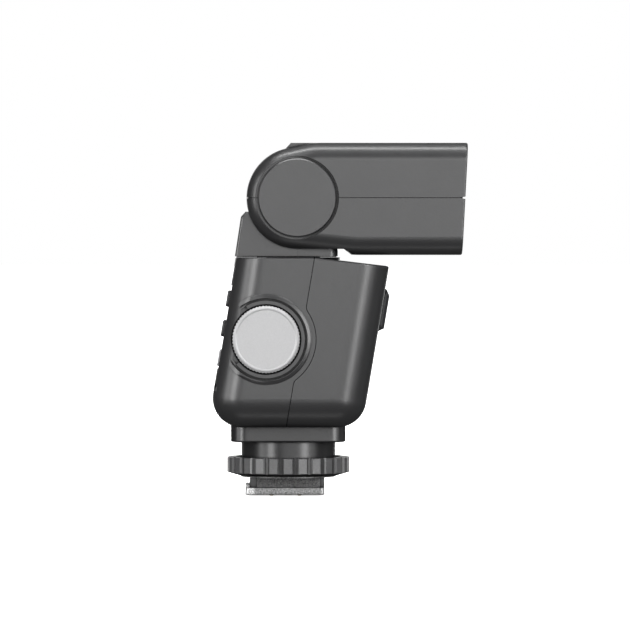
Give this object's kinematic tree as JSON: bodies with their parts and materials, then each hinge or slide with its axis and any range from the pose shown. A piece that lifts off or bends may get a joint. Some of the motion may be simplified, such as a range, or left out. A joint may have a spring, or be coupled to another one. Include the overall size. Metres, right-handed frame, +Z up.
{
  "type": "speedlight flash",
  "caption": "On-camera flash: a tilting, swivelling head with a zooming tube and ridged lens, on a leaning body with display, keys and dial, above a hot-shoe foot with a lock ring.",
  "frame": {"origin": "centre of the foot's underside, on the swivel and lock ring axis", "axes": "+X is the way the light points at rest and the way the foot slides into a shoe, +Y is the flash's left side, +Z is up"},
  "size_m": [0.0718, 0.0607, 0.1],
  "materials": {
    "body_plastic": "fine spark-eroded satin texture",
    "neck_plastic": "fine spark-eroded satin texture",
    "foot_plastic": "satin moulded",
    "ring_plastic": "satin moulded ridges",
    "bezel_plastic": "semi-gloss moulded",
    "foot_steel": "cast and brushed",
    "fastener_steel": "plated",
    "spring_steel": "bright rolled",
    "contact_metal": "polished plating",
    "contact_insulator": "moulded",
    "dial_silver": "satin silver-grey",
    "key_plastic": "satin moulded",
    "test_key": "translucent light grey",
    "display_glass": "clear hard-coated window",
    "display_panel": "dark liquid-crystal panel",
    "assist_window": "dark red translucent",
    "port_rubber": "matte",
    "clear_optic": "clear ridged lens",
    "frosted_optic": "frosted panel",
    "white_card": "matte white",
    "reflector_metal": "anodised bright",
    "tube_glass": "clear",
    "frame_plastic": "moulded",
    "board": "solder mask",
    "component": "moulded",
    "capacitor_can": "sleeved can",
    "battery_wrap": "heat-shrink wrap",
    "port_metal": "plated",
    "cable": "sleeved"
  },
  "bodies": {
    "base": {"foot_plate": "foot_steel", "plate_screws": "fastener_steel", "contact_block": "contact_insulator", "foot_column": "foot_plastic", "foot_screws": "fastener_steel", "rear_shell": "body_plastic", "front_shell": "body_plastic", "casing_screws": "fastener_steel", "display_glass": "display_glass", "display_panel": "display_panel", "button_board": "board", "tact_switches": "component", "dial_encoder": "component", "main_board": "board", "main_capacitor": "capacitor_can", "step_up_transformer": "component", "battery_pack": "battery_wrap", "usb_socket": "port_metal", "sync_jack": "component", "assist_bezel": "bezel_plastic", "assist_lens": "assist_window", "swivel_seat": "foot_plastic"},
    "clamp": {"clamp_plate": "foot_steel", "lock_pin": "spring_steel"},
    "ring": {"lock_ring": "ring_plastic"},
    "contacts": {"contact_pins": "contact_metal"},
    "upper_key": {"upper_button": "key_plastic"},
    "middle_key": {"middle_button": "key_plastic"},
    "test_key": {"test_button": "test_key"},
    "dial": {"control_dial": "dial_silver", "dial_shaft": "fastener_steel"},
    "cover": {"port_cover": "port_rubber"},
    "neck": {"neck_rear_shell": "neck_plastic", "neck_front_shell": "neck_plastic", "swivel_hub": "frame_plastic", "swivel_retainer": "spring_steel", "swivel_spring": "spring_steel", "neck_screws": "fastener_steel", "wiring_loom": "cable", "tilt_detent_spring": "spring_steel"},
    "head": {"head_upper_shell": "body_plastic", "head_lower_shell": "body_plastic", "axle_screws": "fastener_steel", "pivot_cap_right": "body_plastic", "pivot_cap_left": "body_plastic", "tilt_axle_right": "frame_plastic", "tilt_axle_left": "frame_plastic", "tilt_detent_disc": "spring_steel", "lens_bezel": "bezel_plastic", "fresnel_lens": "clear_optic", "guide_rods": "fastener_steel", "zoom_motor": "port_metal"},
    "zoom": {"zoom_carriage": "frame_plastic", "reflector": "reflector_metal", "flash_tube": "tube_glass", "tube_boots": "port_rubber", "trigger_coil": "component"},
    "screw": {"lead_screw": "fastener_steel"},
    "diffuser": {"wide_panel": "frosted_optic"},
    "card": {"bounce_card": "white_card"}
  },
  "joints": [
    {"name": "lock_ring_turn", "type": "hinge", "parent": "clamp", "child": "ring", "pos_m": [0, 0, 0.008], "axis": [0, 0, -1], "range_deg": [0, 540]},
    {"name": "clamp_travel", "type": "slide", "parent": "base", "child": "clamp", "axis": [0, 0, -1], "range_m": [0, 0.0015]},
    {"name": "contact_press", "type": "slide", "parent": "base", "child": "contacts", "axis": [0, 0, 1], "range_m": [0, 0.0004], "stiffness_N_per_m": 400, "springref_m": -0.0008},
    {"name": "upper_button_press", "type": "slide", "parent": "base", "child": "upper_key", "axis": [0.9863, 0, -0.165], "range_m": [0, 0.0004], "stiffness_N_per_m": 500, "springref_m": -0.0008},
    {"name": "middle_button_press", "type": "slide", "parent": "base", "child": "middle_key", "axis": [0.9863, 0, -0.165], "range_m": [0, 0.0004], "stiffness_N_per_m": 500, "springref_m": -0.0008},
    {"name": "test_button_press", "type": "slide", "parent": "base", "child": "test_key", "axis": [0.9863, 0, -0.165], "range_m": [0, 0.0004], "stiffness_N_per_m": 500, "springref_m": -0.0008},
    {"name": "dial_turn", "type": "hinge", "parent": "base", "child": "dial", "pos_m": [-0.00608, -0.0276, 0.0445], "axis": [0, -1, 0], "continuous": true},
    {"name": "port_cover_hinge", "type": "hinge", "parent": "base", "child": "cover", "pos_m": [0.00033, 0.02825, 0.039], "axis": [-0.165, 0, -0.9863], "range_deg": [0, 95]},
    {"name": "head_swivel", "type": "hinge", "parent": "base", "child": "neck", "pos_m": [0, 0, 0.0678], "axis": [0, 0, 1], "range_deg": [-180, 180]},
    {"name": "head_tilt", "type": "hinge", "parent": "neck", "child": "head", "pos_m": [0.00262, 0, 0.08415], "axis": [0, -1, 0], "range_deg": [-6, 90]},
    {"name": "zoom_travel", "type": "slide", "parent": "head", "child": "zoom", "axis": [-1, 0, 0], "range_m": [0, 0.009]},
    {"name": "lead_screw_turn", "type": "hinge", "parent": "head", "child": "screw", "pos_m": [0.02862, 0.0246, 0.08815], "axis": [1, 0, 0], "range_deg": [0, 1640]},
    {"name": "wide_panel_slide", "type": "slide", "parent": "head", "child": "diffuser", "axis": [1, 0, 0], "range_m": [0, 0.03]},
    {"name": "bounce_card_slide", "type": "slide", "parent": "head", "child": "card", "axis": [1, 0, 0], "range_m": [0, 0.031]}
  ],
  "couplings": [
    {"joint": "clamp_travel", "follows": "lock_ring_turn", "m_per_rad": 0.00015915},
    {"joint": "lead_screw_turn", "follows": "zoom_travel", "rad_per_m": 3141.6}
  ]
}
